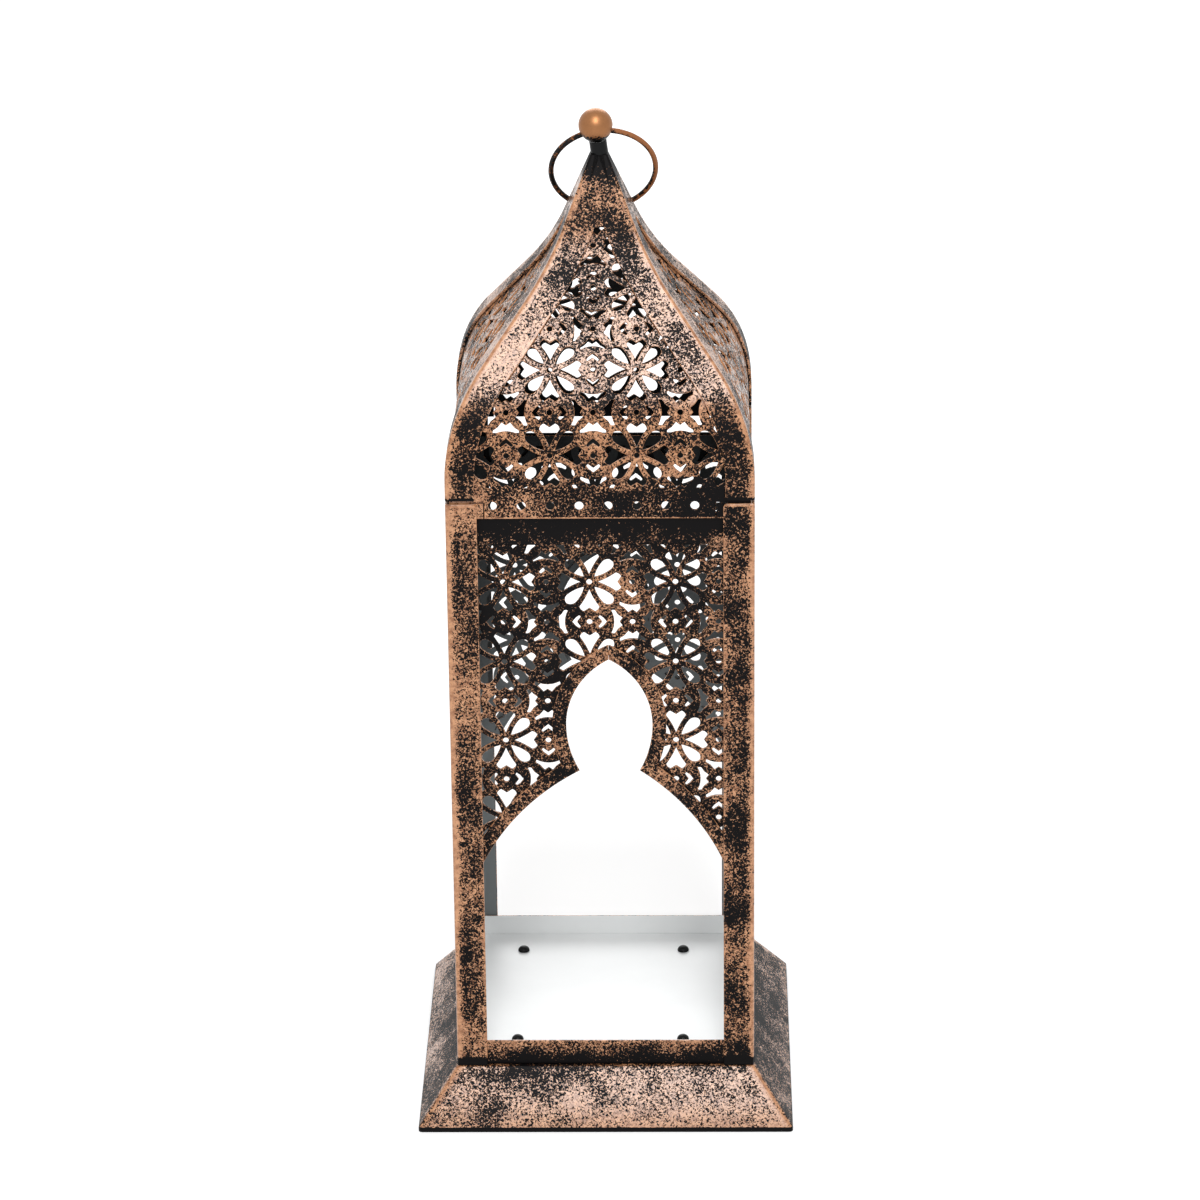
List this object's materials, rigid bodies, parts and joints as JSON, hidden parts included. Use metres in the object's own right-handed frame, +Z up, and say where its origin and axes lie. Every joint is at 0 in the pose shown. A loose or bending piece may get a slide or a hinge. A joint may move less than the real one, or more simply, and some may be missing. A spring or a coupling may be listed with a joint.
{
  "type": "candle lantern",
  "caption": "Pierced sheet-metal candle lantern with a sloped square base, angle posts, keyhole arches, an ogee roof and a loose carrying ring.",
  "frame": {"origin": "middle of the underside, on the plane the base stands on", "axes": "+Z up through the finial, -Y is the front in the picture, +X to its right"},
  "size_m": [0.13, 0.13, 0.3495],
  "materials": {
    "speckled_paint": "black paint sponged with fine copper speckle, rubbed to copper on the folds",
    "base_paint": "the same black and copper speckled paint on the sloped base",
    "black_paint": "satin black paint",
    "floor_paint": "light grey satin paint",
    "copper_paint": "satin copper paint"
  },
  "bodies": {
    "lantern": {"base_skirt": "base_paint", "floor_plate": "floor_paint", "floor_rivet_1": "black_paint", "floor_rivet_2": "black_paint", "floor_rivet_3": "black_paint", "floor_rivet_4": "black_paint", "corner_post_front_left": "speckled_paint", "bottom_rail_front": "speckled_paint", "top_rail_front": "black_paint", "fretwork_front": "speckled_paint", "arch_strip_front_left": "speckled_paint", "arch_strip_front_right": "speckled_paint", "roof_sheet_front": "speckled_paint", "roof_rib_front_left": "speckled_paint", "corner_post_front_right": "speckled_paint", "bottom_rail_right": "speckled_paint", "top_rail_right": "black_paint", "fretwork_right": "speckled_paint", "arch_strip_right_left": "speckled_paint", "arch_strip_right_right": "speckled_paint", "roof_sheet_right": "speckled_paint", "roof_rib_front_right": "speckled_paint", "corner_post_back_right": "speckled_paint", "bottom_rail_back": "speckled_paint", "top_rail_back": "black_paint", "fretwork_back": "speckled_paint", "arch_strip_back_left": "speckled_paint", "arch_strip_back_right": "speckled_paint", "roof_sheet_back": "speckled_paint", "roof_rib_back_right": "speckled_paint", "corner_post_back_left": "speckled_paint", "bottom_rail_left": "speckled_paint", "top_rail_left": "black_paint", "fretwork_left": "speckled_paint", "arch_strip_left_left": "speckled_paint", "arch_strip_left_right": "speckled_paint", "roof_sheet_left": "speckled_paint", "roof_rib_back_left": "speckled_paint", "finial_neck": "black_paint", "finial_ball": "copper_paint"},
    "ring": {"carry_ring": "black_paint"}
  },
  "joints": [
    {"name": "ring_swing", "type": "hinge", "parent": "lantern", "child": "ring", "pos_m": [-0.00077, 0, 0.34136], "axis": [0.9914, 0, 0.1305], "range_deg": [0, 307]}
  ]
}
